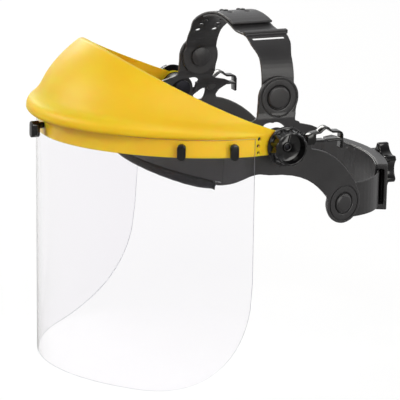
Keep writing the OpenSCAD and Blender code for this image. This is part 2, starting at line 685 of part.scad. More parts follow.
// Pinion: teeth between the strap tails, a journal in the housing, a square end for the wheel.
module ratchet_pinion() {
  start = nape_back + cover_off + gap + 0.1;
  color(grey) difference() {
    union() {
      on_wheel(start) difference() {
        cylinder(r = 5, h = nape_back + 0.2 - start);
        for (k = [0:7])
          rotate(k * 45) translate([5.3, 0, -1]) cylinder(r = 1.2, h = 20, $fn = 24);
      }
      on_wheel(start) cylinder(r = pinion_r, h = seat_y - start);
      on_wheel(seat_y - 1) translate([-2.5, -2.5, 0]) cube([5, 5, wheel_y + wheel_h - 3.4 - seat_y + 1]);
    }
    on_wheel(seat_y - 3) cylinder(r = 1.5 + run_c, h = 30);
  }
}

module ratchet_knob() {
  color(black) on_wheel(wheel_y) difference() {
    linear_extrude(wheel_h) difference() {
      circle(r = wheel_r);
      for (k = [0:5])
        rotate(k * 60) translate([wheel_r + 5.6, 0]) circle(r = 10.6);
    }
    translate([0, 0, -1]) cylinder(r = 11.4, h = 3);
    translate([0, 0, wheel_h - 3.2]) cylinder(r = 5.5, h = 10);
    cube([5.1, 5.1, 60], center = true);
  }
}

module ratchet_screw() {
  color(grey) difference() {
    union() {
      on_wheel(wheel_y + wheel_h - 3.2) cylinder(r = 4.4, h = 2.2);
      on_wheel(seat_y - 2.6) cylinder(r = 1.5, h = wheel_y + wheel_h - seat_y);
    }
    on_wheel(wheel_y + wheel_h - 2) for (k = [0, 90])
      rotate(k) translate([-2.4, -0.5, 0]) cube([4.8, 1, 5]);
  }
}

browguard();
visor();
turn_button(BUTTONS[0], button_off, button_h);  // turn_button_centre
turn_button(BUTTONS[1]);  // turn_button_left_front
turn_button(BUTTONS[2]);  // turn_button_left_rear
turn_button(BUTTONS[3]);  // turn_button_right_front
turn_button(BUTTONS[4]);  // turn_button_right_rear
pivot_knob(1);  // pivot_knob_left
pivot_knob(-1);  // pivot_knob_right
pivot_bolt(1);  // pivot_bolt_left
pivot_bolt(-1);  // pivot_bolt_right
pivot_washer(1);  // pivot_washer_left
pivot_washer(-1);  // pivot_washer_right
brow_band();
side_frame(1);  // side_frame_left
side_frame(-1);  // side_frame_right
brow_pad();
strap_clip(1);  // strap_clip_left
strap_clip(-1);  // strap_clip_right
crown_strap_left();
crown_strap_right();
crown_rivet(1);  // crown_rivet_left
crown_rivet(-1);  // crown_rivet_right
nape_strap_left();
nape_strap_right();
nape_rivet(1);  // nape_rivet_left
nape_rivet(-1);  // nape_rivet_right
ratchet_housing();
ratchet_cover();
ratchet_spring();
ratchet_pinion();
ratchet_knob();
ratchet_screw();
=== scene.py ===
# %% [markdown]
# # A browguard face shield, piece by piece
# The object is a face shield for grinding and cutting work. A yellow brow shell carries a clear visor on
# five turn buttons, and both tilt up on two fluted knobs. A black headgear holds them on the head: a brow
# band with a soft pad, a crown strap in two halves, and a nape strap that a star wheel draws tight. The
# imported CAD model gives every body, joint and size. This lesson dresses it: each piece is made in metres
# where the CAD has it, and rides on the body that carries it.

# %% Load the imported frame
import math

import bmesh
import bpy
import numpy as np
from mathutils import Matrix, Vector


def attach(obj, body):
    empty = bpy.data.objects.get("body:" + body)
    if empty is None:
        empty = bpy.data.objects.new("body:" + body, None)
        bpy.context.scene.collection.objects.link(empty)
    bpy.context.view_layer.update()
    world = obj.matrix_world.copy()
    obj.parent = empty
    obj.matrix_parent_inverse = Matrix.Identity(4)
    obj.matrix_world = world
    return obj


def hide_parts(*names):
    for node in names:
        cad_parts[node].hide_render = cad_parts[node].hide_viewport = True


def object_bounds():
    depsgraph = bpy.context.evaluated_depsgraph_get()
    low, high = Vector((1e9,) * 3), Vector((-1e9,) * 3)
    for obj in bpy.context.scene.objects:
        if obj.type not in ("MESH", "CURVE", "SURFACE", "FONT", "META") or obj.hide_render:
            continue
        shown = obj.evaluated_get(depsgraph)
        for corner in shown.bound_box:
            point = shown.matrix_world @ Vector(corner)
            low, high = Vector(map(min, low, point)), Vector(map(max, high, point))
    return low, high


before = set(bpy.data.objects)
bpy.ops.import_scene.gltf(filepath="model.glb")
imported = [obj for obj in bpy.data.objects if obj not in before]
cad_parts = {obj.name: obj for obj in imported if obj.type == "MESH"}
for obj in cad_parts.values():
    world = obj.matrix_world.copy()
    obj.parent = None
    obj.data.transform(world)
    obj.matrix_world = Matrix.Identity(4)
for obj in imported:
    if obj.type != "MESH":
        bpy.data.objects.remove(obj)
cad_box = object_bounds()
scene = bpy.context.scene
MM = 0.001
print("CAD box in mm:", [[round(v / MM, 1) for v in corner] for corner in cad_box])

# %% [markdown]
# ## The camera
# The photograph was taken from the wearer's left and a little above, with a long lens. The camera could be
# placed by eye, but a direction, a distance and a lens are easier to keep: azimuth is counted from the
# front towards the wearer's left, and a small roll is left in because the picture has it. The focal length
# is given in pixels of a square picture, and turned into millimetres on the sensor.

# %% Camera
AZIMUTH, ELEVATION, ROLL = math.radians(67.0), math.radians(14.69), math.radians(1.3)
TARGET = Vector((0.0, -21.35, -69.75)) * MM
DISTANCE = 2600 * MM
SENSOR_MM, FOCAL_PX, PICTURE_PX = 36.0, 3249.3, 400
CLIP_NEAR, CLIP_FAR = 0.1, 60.0
away = Vector((math.sin(AZIMUTH) * math.cos(ELEVATION), -math.cos(AZIMUTH) * math.cos(ELEVATION),
               math.sin(ELEVATION)))
level = Vector((math.cos(AZIMUTH), math.sin(AZIMUTH), 0.0))
upright = away.cross(level)
right = level * math.cos(ROLL) + upright * math.sin(ROLL)
up = upright * math.cos(ROLL) - level * math.sin(ROLL)

camera = bpy.data.objects.new("camera", bpy.data.cameras.new("camera"))
scene.collection.objects.link(camera)
camera.data.sensor_width = SENSOR_MM
camera.data.lens = SENSOR_MM * FOCAL_PX / PICTURE_PX
camera.data.clip_start, camera.data.clip_end = CLIP_NEAR, CLIP_FAR
turn = Matrix((right, up, away)).transposed()
camera.matrix_world = Matrix.Translation(TARGET + away * DISTANCE) @ turn.to_4x4()
scene.camera = camera
print("lens in mm:", round(camera.data.lens, 1))

# %% [markdown]
# ## Three small tools
# Colours are written as sRGB hex values, as a paint chart gives them, and Blender wants them linear, so one
# function turns them. Node trees are long to write by hand, so one function adds a node, sets what it is
# given and links it: a plain value goes on the socket, and a node or a socket is linked. A new material
# comes with nodes already in it, so one function makes an empty one.

# %% Colour, node and material helpers
def linear(code):
    """A linear colour with alpha from an sRGB hex code such as #F0C030."""
    parts = [int(code[i:i + 2], 16) / 255 for i in (1, 3, 5)]
    return (*[c / 12.92 if c <= 0.04045 else ((c + 0.055) / 1.055) ** 2.4 for c in parts], 1.0)


def add(tree, kind, inputs=None, **settings):
    """Adds a node with its settings, and sets or links its inputs by name or number."""
    node = tree.nodes.new(kind)
    for key, value in settings.items():
        setattr(node, key, value)
    for key, value in (inputs or {}).items():
        if isinstance(value, bpy.types.Node):
            value = value.outputs[0]
        if isinstance(value, bpy.types.NodeSocket):
            tree.links.new(value, node.inputs[key])
        else:
            node.inputs[key].default_value = value
    return node


def empty_material(name):
    """A new material without nodes, and its node tree."""
    material = bpy.data.materials.new(name)
    material.use_nodes = True
    material.node_tree.nodes.clear()
    return material, material.node_tree


print("yellow check:", [round(c, 3) for c in linear("#F0C030")])

# %% [markdown]
# ## Floor, background and light
# The object was shot on white under soft studio light. Adding light until the background burns out would
# burn the object too. Instead the world and the floor show plain white to the camera and through clear
# plastic, and light everything else at an ordinary level, with pale walls and a darker ceiling. A gloss
# shows some of the white too, but only where the backdrop stood, behind the object: the room in front of it
# is dimmer, which leaves the black plastic black and puts bright rims on its upper edges. A ray that a
# surface has scattered doesn't see the white through the visor, or the sheet would light up what is behind
# it.

# %% World
# Shares of full white: what a gloss sees of the backdrop, and how bright the walls and the ceiling are.
GLOSS_SHARE, WALL_GLOW, CEILING_GLOW = 0.55, 0.65, 0.2
# How far up a direction of length 1 points where the walls begin to darken and where the ceiling begins.
WALL_TOP, CEILING_EDGE = 0.15, 0.75


def seen_directly(tree, place, near, far):
    """1 for a ray from the camera or through a clear piece, less off a gloss to the backdrop, 0 for others.
    The backdrop begins between near and far, counted away from the camera."""
    path = add(tree, "ShaderNodeLightPath")
    behind = add(tree, "ShaderNodeVectorMath", {0: place, 1: (-math.sin(AZIMUTH), math.cos(AZIMUTH), 0)},
                 operation="DOT_PRODUCT")
    backdrop = add(tree, "ShaderNodeMapRange", {"Value": behind.outputs["Value"], "From Min": near,
                                                "From Max": far})
    dimmed = add(tree, "ShaderNodeMath", {0: backdrop, 1: GLOSS_SHARE}, operation="MULTIPLY")
    gloss = add(tree, "ShaderNodeMath", {0: path.outputs["Is Glossy Ray"], 1: dimmed}, operation="MULTIPLY")
    first = add(tree, "ShaderNodeMath", {0: path.outputs["Is Camera Ray"], 1: gloss}, operation="MAXIMUM")
    # Diffuse Depth counts how often a ray was scattered, so less than a half means never.
    unscattered = add(tree, "ShaderNodeMath", {0: path.outputs["Diffuse Depth"], 1: 0.5},
                      operation="LESS_THAN")
    clear = add(tree, "ShaderNodeMath", {0: path.outputs["Is Transmission Ray"], 1: unscattered},
                operation="MULTIPLY")
    return add(tree, "ShaderNodeMath", {0: first, 1: clear}, operation="MAXIMUM")


studio = bpy.data.worlds.new("white_studio")
studio.use_nodes = True
tree = studio.node_tree
tree.nodes.clear()
direction = add(tree, "ShaderNodeTexCoord").outputs["Generated"]
height = add(tree, "ShaderNodeSeparateXYZ", {0: direction})
walls = add(tree, "ShaderNodeMapRange", {"Value": height.outputs["Z"], "From Min": WALL_TOP,
                                         "From Max": CEILING_EDGE, "To Min": WALL_GLOW,
                                         "To Max": CEILING_GLOW})
sky = add(tree, "ShaderNodeBackground", {"Color": linear("#F4F6FA"), "Strength": walls})
white = add(tree, "ShaderNodeBackground", {"Color": linear("#FFFFFF"), "Strength": 1.0})
seen = seen_directly(tree, direction, near=0.1, far=0.6)
mix = add(tree, "ShaderNodeMixShader", {0: seen, 1: sky, 2: white})
add(tree, "ShaderNodeOutputWorld", {"Surface": mix})
scene.world = studio
scene.view_settings.view_transform = "Standard"
print("world:", studio.name)

# %% [markdown]
# The floor is a wide sheet of white paper. A lit sheet alone comes out grey, and a glowing one alone shows
# no shadow. This one is both to the camera: an even glow makes most of its white, and about a sixth of it
# is a real lit surface that the object can shade.

# %% Floor
# Shares of full white in what the floor shows, its gap under the object in mm, and half its width in metres.
FLOOR_GLOW, FLOOR_LIT, FLOOR_GAP, FLOOR_REACH = 0.855, 0.16, 0.2, 12
FLOOR_Z = cad_box[0].z - FLOOR_GAP * MM
paper, tree = empty_material("white_paper_sweep")
lit = add(tree, "ShaderNodeBsdfDiffuse", {"Color": linear("#A4A4A4")})
glow = add(tree, "ShaderNodeEmission", {"Color": linear("#FFFFFF"), "Strength": FLOOR_GLOW})
faint = add(tree, "ShaderNodeBsdfDiffuse", {"Color": (FLOOR_LIT, FLOOR_LIT, FLOOR_LIT, 1)})
shown = add(tree, "ShaderNodeAddShader", {0: glow, 1: faint})
metres = add(tree, "ShaderNodeTexCoord").outputs["Object"]
seen = seen_directly(tree, metres, near=-0.1, far=0.4)
mix = add(tree, "ShaderNodeMixShader", {0: seen, 1: lit, 2: shown})
add(tree, "ShaderNodeOutputMaterial", {"Surface": mix})

corners = [(x * FLOOR_REACH, y * FLOOR_REACH, FLOOR_Z) for x, y in ((-1, -1), (1, -1), (1, 1), (-1, 1))]
mesh = bpy.data.meshes.new("floor")
mesh.from_pydata(corners, [], [(0, 1, 2, 3)])
mesh.materials.append(paper)
floor = bpy.data.objects.new("floor", mesh)
scene.collection.objects.link(floor)
print("floor at z =", round(FLOOR_Z / MM, 1), "mm")

# %% [markdown]
# Five soft lamps stand round the object. One strong lamp would be simpler, but it burns the yellow on one
# side and leaves the black plastic without an edge. Discs of about a metre give wide highlights and soft
# shadows. The key lights the dome from the front, the fill and the top lamp the side that the camera sees,
# the far lamp the other side, and the rear lamp the nape.

# %% Lamps
# Place and width in metres, and power in watts.
LAMPS = {
    "key": ((-0.8, -1.9, 1.1), 1.0, 22.0),
    "fill": ((2.2, 0.4, 0.6), 1.5, 23.0),
    "far": ((-2.1, 0.0, 1.0), 1.0, 17.0),
    "top": ((1.3, -0.8, 1.9), 1.3, 17.0),
    "rear": ((1.2, 2.1, 0.7), 0.8, 9.0),
}
for name, (place, width, watts) in LAMPS.items():
    lamp = bpy.data.lights.new(name, "AREA")
    lamp.shape, lamp.size, lamp.energy = "DISK", width, watts
    lamp.color = linear("#FFFDF8")[:3]
    holder = bpy.data.objects.new(name, lamp)
    scene.collection.objects.link(holder)
    holder.location = place
    holder.rotation_euler = (TARGET - Vector(place)).to_track_quat("-Z", "Y").to_euler()
print("lamps:", ", ".join(LAMPS))

# %% [markdown]
# ## Finishes
# Every plastic here is injection moulded, so its colour is even, but its gloss is not: the mould's texture
# and the flow of the melt leave fine grain and slow, faint changes. Each finish below starts from typical
# values for its plastic and has a grain from a real size in millimetres. A noise of scale s repeats about
# every 1/s metres, so a size in millimetres is turned into a scale by one division.

# %% Moulded plastics
# A noise stays mostly between these two values, so they stand for its lowest and its highest.
NOISE_LOW, NOISE_HIGH = 0.3, 0.7
# In a plastic that lets light in: the share that enters it, and how far red, green and blue go by comparison.
LIGHT_SHARE, COLOUR_REACH = 0.85, (1.0, 0.5, 0.1)


def moulded_plastic(name, low, high, flow_mm, gloss, grain_mm, grain_depth_mm, ior, shine=0.5, depth_mm=0.0):
    """A moulded plastic: colour between two hexes over the flow size, gloss as a range, grain as bump, and
    for a plastic that lets light in, the depth it reaches."""
    material, tree = empty_material(name)
    place = add(tree, "ShaderNodeTexCoord").outputs["Object"]
    flow = add(tree, "ShaderNodeTexNoise", {"Vector": place, "Scale": 1 / (flow_mm * MM), "Detail": 2.0})
    ramp = add(tree, "ShaderNodeValToRGB", {"Fac": flow.outputs["Fac"]})
    ends = ramp.color_ramp.elements
    ends[0].position, ends[1].position = NOISE_LOW, NOISE_HIGH
    ends[0].color, ends[1].color = linear(low), linear(high)
    grain = add(tree, "ShaderNodeTexNoise", {"Vector": place, "Scale": 1 / (grain_mm * MM), "Detail": 3.0})
    rough = add(tree, "ShaderNodeMapRange", {"Value": grain.outputs["Fac"], "From Min": NOISE_LOW,
                                             "From Max": NOISE_HIGH, "To Min": gloss[0], "To Max": gloss[1]})
    bump = add(tree, "ShaderNodeBump", {"Height": grain.outputs["Fac"], "Strength": 1.0,
                                        "Distance": grain_depth_mm * MM})
    shader = add(tree, "ShaderNodeBsdfPrincipled", {"Base Color": ramp.outputs["Color"], "Roughness": rough,
                                                    "IOR": ior, "Normal": bump, "Specular IOR Level": shine})
    if depth_mm:
        shader.inputs["Subsurface Weight"].default_value = LIGHT_SHARE
        shader.inputs["Subsurface Radius"].default_value = COLOUR_REACH
        shader.inputs["Subsurface Scale"].default_value = depth_mm * MM
    add(tree, "ShaderNodeOutputMaterial", {"Surface": shader})
    return material


# Polypropylene straight from a fine-spark mould: a satin skin with a soft, wide highlight. The grain is drawn
# at 0.9 mm, coarser than the real 0.1 mm, so that it shows at all from this far.
yellow_polypropylene = moulded_plastic("yellow_polypropylene_satin", "#EFBF13", "#F3C91C", flow_mm=45,
                                       gloss=(0.40, 0.50), grain_mm=0.9, grain_depth_mm=0.006, ior=1.49,
                                       shine=0.35, depth_mm=6.0)
# Glass-free nylon from a polished mould: near black with sharp highlights.
black_nylon = moulded_plastic("black_nylon_gloss", "#070607", "#0C0B0C", flow_mm=20, gloss=(0.11, 0.19),
                              grain_mm=1.2, grain_depth_mm=0.004, ior=1.53)
# Polyethylene from a blasted mould: charcoal that lightens where it faces the light. Its grain is drawn at
# 0.8 mm, coarser than the real one, so that it shows.
black_polyethylene = moulded_plastic("black_polyethylene_grain", "#292829", "#323132", flow_mm=30,
                                     gloss=(0.32, 0.44), grain_mm=0.8, grain_depth_mm=0.010, ior=1.51,
                                     shine=0.45)
# Natural nylon with a little carbon black, used for the hidden pinion.
grey_nylon = moulded_plastic("grey_nylon_matt", "#55565A", "#5E5F63", flow_mm=15, gloss=(0.40, 0.52),
                             grain_mm=0.7, grain_depth_mm=0.008, ior=1.53)
print("plastics:", yellow_polypropylene.name, black_nylon.name, black_polyethylene.name, grey_nylon.name)

# %% [markdown]
# The visor is extruded polycarbonate sheet, polished on both faces. As a solid with real thickness it can
# use the Principled shader's transmission. The true index is 1.585, but four faces that each mirror a pale
# room would lay a veil over the dark band behind them. The index is therefore set lower, as a coat against
# glare does. Light would reach what is behind the sheet only as slow caustics, so a shadow ray passes
# straight through with the sheet's faint tint. The cut edge gathers light inside the sheet, and shows as a
# thin grey line. That line is painted shade: the rim gets an opaque grey of its own that stands in for it.

# %% Clear sheet and its cut edge
SHEET_IOR, SHEET_ROUGHNESS = 1.15, 0.02
# The rollers leave slow, shallow waves in the sheet, in mm from crest to crest and in depth.
ROLLER_WAVE, ROLLER_WAVE_DEPTH = 60, 0.05
clear_polycarbonate, tree = empty_material("clear_polycarbonate_sheet")
place = add(tree, "ShaderNodeTexCoord").outputs["Object"]
wave = add(tree, "ShaderNodeTexNoise", {"Vector": place, "Scale": 1 / (ROLLER_WAVE * MM), "Detail": 1.0})
bump = add(tree, "ShaderNodeBump", {"Height": wave.outputs["Fac"], "Strength": 1.0,
                                    "Distance": ROLLER_WAVE_DEPTH * MM})
facing = add(tree, "ShaderNodeLayerWeight", {"Blend": 0.35})
# A Mix node's inputs 6 and 7 are its two colours, and its output 2 is the mixed one.
tint = add(tree, "ShaderNodeMix", {0: facing.outputs["Facing"], 6: linear("#F9F8FA"), 7: linear("#FFFFFF")},
           data_type="RGBA")
sheet = add(tree, "ShaderNodeBsdfPrincipled", {"Base Color": tint.outputs[2], "Roughness": SHEET_ROUGHNESS,
                                               "IOR": SHEET_IOR, "Transmission Weight": 1.0, "Normal": bump})
passing = add(tree, "ShaderNodeBsdfTransparent", {"Color": linear("#E4E4E9")})
path = add(tree, "ShaderNodeLightPath")
mix = add(tree, "ShaderNodeMixShader", {0: path.outputs["Is Shadow Ray"], 1: sheet, 2: passing})
add(tree, "ShaderNodeOutputMaterial", {"Surface": mix})

# Painted shade: an opaque grey for the sheet's rim, standing in for the thin grey line that the cut edge
# shows.
painted_edge_shade = moulded_plastic("polycarbonate_cut_edge", "#9A9CA6", "#AEB0B9", flow_mm=6, gloss=(0.30, 0.45),
                           grain_mm=0.6, grain_depth_mm=0.006, ior=1.585)
print("clear finishes:", clear_polycarbonate.name, painted_edge_shade.name)

# %% [markdown]
# The click spring and the wheel's screw are steel with a thin zinc coat: a metal, slightly milky. The pivot
# bolts have a black oxide coat instead, which drinks most of the light. Both are clouded by handling, and a
# metal keeps the shader's default index of refraction.

# %% Coated steels
CLOUD_MM = 4


def coated_steel(name, low, high, gloss):
    """A coated metal: colour between two hexes and gloss as a range, clouded every few millimetres."""
    material, tree = empty_material(name)
    place = add(tree, "ShaderNodeTexCoord").outputs["Object"]
    cloud = add(tree, "ShaderNodeTexNoise", {"Vector": place, "Scale": 1 / (CLOUD_MM * MM), "Detail": 3.0})
    ramp = add(tree, "ShaderNodeValToRGB", {"Fac": cloud.outputs["Fac"]})
    ends = ramp.color_ramp.elements
    ends[0].color, ends[1].color = linear(low), linear(high)
    rough = add(tree, "ShaderNodeMapRange", {"Value": cloud.outputs["Fac"], "To Min": gloss[0],
                                             "To Max": gloss[1]})
    shader = add(tree, "ShaderNodeBsdfPrincipled", {"Base Color": ramp.outputs["Color"], "Metallic": 1.0,
                                                    "Roughness": rough})
    add(tree, "ShaderNodeOutputMaterial", {"Surface": shader})
    return material


zinc_steel = coated_steel("zinc_coated_steel", "#A9ABAE", "#C4C6C8", (0.24, 0.42))
black_steel = coated_steel("black_oxide_steel", "#26262A", "#35353A", (0.34, 0.50))
print("metals:", zinc_steel.name, black_steel.name)

# %% [markdown]
# The brow pad is foam in a knitted cloth. A knit is rows of loops, and from a step away it reads as fine
# ribs crossed by a finer beat, with a soft sheen where it turns away. The rows are drawn 1.6 mm apart,
# about twice as coarse as the real ones, so that they show. They run on Object coordinates, so the pad
# needs no UV map.

# %% Knitted cloth
ROW_MM, LOOP_MM, KNIT_DEPTH_MM = 1.6, 1.2, 0.25
# A wave texture of scale 1 has 3.18 waves in a metre, which is 20 divided by two pi.
WAVES_AT_ONE = 3.18
knit_cloth, tree = empty_material("grey_knitted_cloth")
place = add(tree, "ShaderNodeTexCoord").outputs["Object"]
rows = add(tree, "ShaderNodeTexWave", {"Vector": place, "Scale": 1 / (ROW_MM * MM) / WAVES_AT_ONE,
                                       "Distortion": 1.2, "Detail": 1.0, "Detail Scale": 1.5},
           bands_direction="Z")
loops = add(tree, "ShaderNodeTexWave", {"Vector": place, "Scale": 1 / (LOOP_MM * MM) / WAVES_AT_ONE,
                                        "Distortion": 0.8}, bands_direction="X")
knit = add(tree, "ShaderNodeMath", {0: rows.outputs["Fac"], 1: loops.outputs["Fac"]}, operation="MULTIPLY")
ramp = add(tree, "ShaderNodeValToRGB", {"Fac": knit})
ends = ramp.color_ramp.elements
ends[0].color, ends[1].color = linear("#0F1014"), linear("#1F2127")
bump = add(tree, "ShaderNodeBump", {"Height": knit, "Strength": 0.8, "Distance": KNIT_DEPTH_MM * MM})
shader = add(tree, "ShaderNodeBsdfPrincipled", {"Base Color": ramp.outputs["Color"], "Roughness": 0.85,
                                                "Sheen Weight": 0.2, "Sheen Roughness": 0.45,
                                                "Normal": bump})
add(tree, "ShaderNodeOutputMaterial", {"Surface": shader})
print("cloth:", knit_cloth.name)

# %% [markdown]
# ## The brow shell
# The browguard is one moulding: an upright band that carries the visor, a brim that swells out over it, and
# a dome that leans back and stays open at the top. Its two legs run back to the pivots. The CAD has it in
# coarse facets. Here the same rule is sampled finely: the plan of the visor is an ellipse drawn in behind
# the nose, each column of the shell stands on that plan, and a column's section is the same few points with
# the corners rounded.

# %% Plan curve and dome
# The plan in mm: half its width, its depth, the share drawn in behind the nose, and how far its widest line
# lies in front of the pivots.
HALF_W, DEPTH, NOSE, SETBACK = 116.5, 130.0, 0.11, 26.0
# The section in mm: the band's lower and upper edge, the wall, and its outer face's distance from the plan.
BAND_LOW, BAND_TOP, WALL, OFFSET = -6.5, 9.0, 2.6, 1.3
# The dome's lean: the height where it begins, the height over which it eases in, the slope at a height, and
# how much the slope grows with each mm above it.
LEAN_Z, LEAN_EASE, SLOPE, SLOPE_Z, SLOPE_GROWTH = 17, 9, 0.3, 21.5, 0.023


def smooth(u):
    """Eases from 0 to 1."""
    u = min(max(u, 0.0), 1.0)
    return u * u * (3 - 2 * u)


def plan(t):
    """Place and outward normal of the visor's plan at t degrees from the nose, in mm."""
    s, c = math.sin(math.radians(t)), math.cos(math.radians(t))
    place = Vector((HALF_W * s, -SETBACK - DEPTH * c * (1 - NOSE * s * s)))
    return place, Vector((DEPTH * s * (1 - NOSE * s * s + 2 * NOSE * c * c), -HALF_W * c)).normalized()


# The slope is worked out at many heights and summed up to a setback.
heights = np.linspace(-10, 90, 2001)
eases = np.array([smooth((z - LEAN_Z) / LEAN_EASE) for z in heights])
slopes = (SLOPE + SLOPE_GROWTH * (heights - SLOPE_Z)) * eases
setbacks = np.cumsum(slopes) * (heights[1] - heights[0])
print("dome setback at 60 mm:", round(float(np.interp(60, heights, setbacks)), 2), "mm")

# %% [markdown]
# A section of straight lines would crease the shell at every point. Subdividing the mesh would soften it,
# but it also pulls the shape in. Two functions keep the points where they are: one rounds the corners of a
# ring, and the other lays a curve through points that never swings past them, so a straight wall stays
# straight.

# %% Rounded rings and eased curves
def rounded(points, radii, steps=4, most=0.45):
    """A closed ring of points, each corner eased over its radius, or at most that share of a side."""
    ring = []
    for i, (point, radius) in enumerate(zip(points, radii)):
        if not radius:
            ring.append(point)
            continue
        before, after = points[i - 1] - point, points[(i + 1) % len(points)] - point
        a = point + before * min(radius / before.length, most)
        b = point + after * min(radius / after.length, most)
        for k in range(steps + 1):
            u = k / steps
            ring.append(a * (1 - u) ** 2 + point * 2 * u * (1 - u) + b * u * u)
    return ring


def eased(points, count):
    """Points along a curve through the given points, without overshoot."""
    p = np.array([tuple(v) for v in points])
    d = np.concatenate(([0], np.cumsum(np.linalg.norm(np.diff(p, axis=0), axis=1))))
    h = np.diff(d)[:, None]
    slope = np.diff(p, axis=0) / h
    before, after = slope[:-1], slope[1:]
    both = np.where(before + after == 0, 1, before + after)
    # Where the slope changes its sign the curve is level, which keeps it from swinging past the point.
    between = np.where(before * after > 0, 2 * before * after / both, 0)
    tangent = np.vstack([slope[:1], between, slope[-1:]])
    at = np.linspace(0, d[-1], count)
    i = np.clip(np.searchsorted(d, at) - 1, 0, len(h) - 1)
    u, w = ((at - d[i]) / h[i, 0])[:, None], h[i]
    curve = (p[i] * (1 + 2 * u) * (1 - u) ** 2 + tangent[i] * w * u * (1 - u) ** 2
             + p[i + 1] * u * u * (3 - 2 * u) + tangent[i + 1] * w * u * u * (u - 1))
    return [Vector(v) for v in curve]


print("eased bend:", [tuple(round(c, 2) for c in v) for v in eased([(0, 0), (0, 2), (2, 2)], 5)])

# %% [markdown]
# The open top edge follows a rule of its own: it climbs from the pivots to the peak in a slight curve. A
# point of the edge also leans in with the dome, which changes where it is, so its height is found in a few
# steps that close in on it.

# %% Open top edge
# In mm: where the edge starts, just in front of the pivots, its height there, its slope and curve, and the
# least that it stands over the band.
EDGE_Y, EDGE_Z, EDGE_SLOPE, EDGE_CURVE, EDGE_LEAST = -9, 12.7, 0.373, 0.000957, 1.2
EDGE_GUESS, EDGE_STEPS = 40.0, 24


def top_edge(y, ny):
    """Height of the open edge over a column of the plan."""
    z = EDGE_GUESS
    for _ in range(EDGE_STEPS):
        h = EDGE_Y - (y - ny * (OFFSET + np.interp(z, heights, setbacks)))
        z = 0.5 * (z + max(BAND_TOP + EDGE_LEAST, EDGE_Z + EDGE_SLOPE * h + EDGE_CURVE * h * h))
    return float(z)


print("peak of the shell:", round(top_edge(plan(0)[0].y, -1.0), 1), "mm")

# %% [markdown]
# A column is a ring round the shell's section. It goes up the band's outer face, out under the brim, up the
# dome to the open edge, and down again inside, one wall thickness further in. The same list of shares
# serves every column, because the brim's reach and the edge's height are what changes on the way round.

# %% Browguard columns
# The brim's reach at the nose and at the sides, the least that is left of it on the legs, and the legs'
# length, draw-in and how soon they reach it.
BRIM, BRIM_SIDE, BRIM_LEAST = 9.7, 0.8, 0.05
LEG, LEG_TOE, LEG_EASE = 26.0, 1.2, 2.6
# Points above the band: shares of the brim's reach, and of the height from the band to the open edge.
OUTER = [(1, .035), (.97, .09), (.82, .14), (.35, .21), (.08, .28), (0, .36), (0, .48), (0, .62),
         (0, .81), (0, 1)]
INNER = [(.88, .075), (.92, .105), (.80, .15), (.35, .22), (.08, .285), (0, .36), (0, .48), (0, .62),
         (0, .81), (0, 1)]
OUTER_POINTS, INNER_POINTS = 40, 34
# The brim's underside, as shares of its reach, and the inside's first two points, as shares of both.
UNDER_REACH, UNDER_DROP, FOOT_RISE, INNER_REACH, INNER_RISE = 0.8, 0.06, 0.04, 0.7, 0.055
# Radii in mm: the band's lower corners, its corner under the brim, the brim's lip, the open edge, and inside.
BAND_ROUND, UNDER_ROUND, LIP_ROUND, EDGE_ROUND, FOOT_ROUND = 0.8, 0.35, 0.8, 1.1, 0.6


def guard_column(s):
    """Ring of points round the shell's section at s degrees, with the legs past 90."""
    if abs(s) <= 90:
        place, normal = plan(s)
        brim = BRIM_SIDE + (BRIM - BRIM_SIDE) * math.cos(math.radians(s)) ** 2
    else:
        u, side = (abs(s) - 90) / LEG, math.copysign(1, s)
        v = smooth(LEG_EASE * u)
        place, normal = Vector((side * (HALF_W - LEG_TOE * v), -SETBACK + u * LEG)), Vector((side, 0))
        brim = max(BRIM_SIDE * (1 - v), BRIM_LEAST)
    rise = top_edge(place.y, normal.y) - BAND_TOP

    def wall(start, shares, count):
        return eased([start] + [Vector((k * brim, BAND_TOP + f * rise)) for k, f in shares], count)

    def lean(p):
        return p - Vector((OFFSET + np.interp(p.y, heights, setbacks), 0))

    def thin(p):
        return lean(p) - Vector((WALL * math.hypot(1, np.interp(p.y, heights, slopes)), 0))

    band = [Vector((0, BAND_LOW)), Vector((0, BAND_TOP))]
    outer = wall(Vector((UNDER_REACH * brim, BAND_TOP - UNDER_DROP * brim)), OUTER, OUTER_POINTS)
    inner = wall(Vector((INNER_REACH * brim, BAND_TOP + INNER_RISE * rise)), INNER, INNER_POINTS)
    foot = [Vector((0, BAND_TOP + FOOT_RISE * rise)), Vector((0, BAND_LOW))]
    points = [lean(p) for p in band + outer] + [thin(p) for p in inner[::-1] + foot]
    radii = [0.0] * len(points)
    edge = len(band + outer)
    radii[:3] = BAND_ROUND, UNDER_ROUND, LIP_ROUND
    radii[edge - 1:edge + 1] = EDGE_ROUND, EDGE_ROUND
    radii[-2:] = FOOT_ROUND, BAND_ROUND
    return [(place.x + normal.x * p.x, place.y + normal.y * p.x, p.y) for p in rounded(points, radii)]


print("points in a column:", len(guard_column(0)))

# %% [markdown]
# All columns have the same number of points, so the skin between them is a plain grid of faces. A mesh is
# only a list of points and a list of faces, and one function writes both. Which way round the faces come
# out depends on the order of the points, so all of them are turned outwards afterwards.

# %% Browguard shell
def loft(name, rings, loop=False):
    """A mesh through rings of points in mm, each closed, with flat ends or joined into a loop."""
    n, m = len(rings[0]), len(rings)
    faces = [(i * n + j, (i + 1) % m * n + j, (i + 1) % m * n + (j + 1) % n, i * n + (j + 1) % n)
             for i in range(m if loop else m - 1) for j in range(n)]
    if not loop:
        faces += [tuple(range(n)), tuple(range((m - 1) * n, m * n))[::-1]]
    mesh = bpy.data.meshes.new(name)
    mesh.from_pydata([tuple(c * MM for c in p) for ring in rings for p in ring], [], faces)
    piece = bpy.data.objects.new(name, mesh)
    scene.collection.objects.link(piece)
    return piece


def outward(piece):
    """Turns all faces of a closed piece outwards."""
    work = bmesh.new()
    work.from_mesh(piece.data)
    bmesh.ops.recalc_face_normals(work, faces=work.faces)
    work.to_mesh(piece.data)
    work.free()


